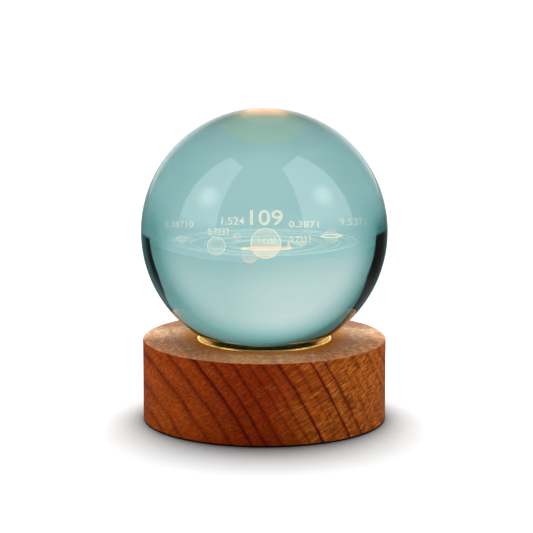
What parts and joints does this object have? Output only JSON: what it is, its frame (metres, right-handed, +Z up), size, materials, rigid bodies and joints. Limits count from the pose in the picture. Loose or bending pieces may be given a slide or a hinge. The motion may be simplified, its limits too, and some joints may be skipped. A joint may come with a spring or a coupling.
{
  "type": "crystal ball lamp",
  "caption": "Solid glass ball resting in a polished seat ring on a round turned wooden base, lit from below by a small light board, with a power socket and push button at the back.",
  "frame": {"origin": "middle of the underside of the pad, on the surface that the lamp stands on", "axes": "+Z up through the base and the ball; -Y to the front, +Y to the power socket and the button; +X to the right as seen from the front"},
  "size_m": [0.06, 0.06, 0.0764],
  "materials": {
    "tinted_glass": "clear polished glass with a blue-green tint",
    "gold_metal": "polished gold plating",
    "wood": "oiled reddish-brown hardwood with dark growth rings",
    "white_plastic": "smooth moulded white",
    "frosted_lens": "frosted translucent acrylic",
    "white_board": "white solder mask",
    "green_board": "green solder mask",
    "led": "yellow phosphor",
    "steel": "plated steel",
    "black_plastic": "fine satin black",
    "ceramic": "matte tan ceramic",
    "red_wire": "red insulation",
    "black_wire": "black insulation",
    "rubber": "matte black non-slip rubber"
  },
  "bodies": {
    "base": {"wooden_base": "wood", "seat_ring": "gold_metal", "light_cup": "white_plastic", "light_lens": "frosted_lens", "light_board": "white_board", "led_1": "led", "led_2": "led", "led_3": "led", "led_4": "led", "led_5": "led", "led_6": "led", "light_screw": "steel", "control_board": "green_board", "board_spacer_1": "white_plastic", "board_spacer_2": "white_plastic", "board_screw_1": "steel", "board_screw_2": "steel", "socket_shell": "steel", "socket_core": "black_plastic", "switch_body": "black_plastic", "driver_chip": "black_plastic", "resistor_1": "ceramic", "resistor_2": "ceramic", "capacitor": "ceramic", "wire_positive": "red_wire", "wire_negative": "black_wire", "bottom_cover": "black_plastic", "cover_screw_1": "steel", "cover_screw_2": "steel", "cover_screw_3": "steel", "cover_screw_4": "steel", "non_slip_pad": "rubber"},
    "ball": {"glass_ball": "tinted_glass"},
    "button": {"button_cap": "black_plastic", "switch_plunger": "white_plastic"}
  },
  "joints": [
    {"name": "ball_lift", "type": "slide", "parent": "base", "child": "ball", "axis": [0, 0, 1], "range_m": [0, 0.04]},
    {"name": "button_press", "type": "slide", "parent": "base", "child": "button", "axis": [0, -1, 0], "range_m": [0, 0.001], "stiffness_N_per_m": 1200}
  ]
}
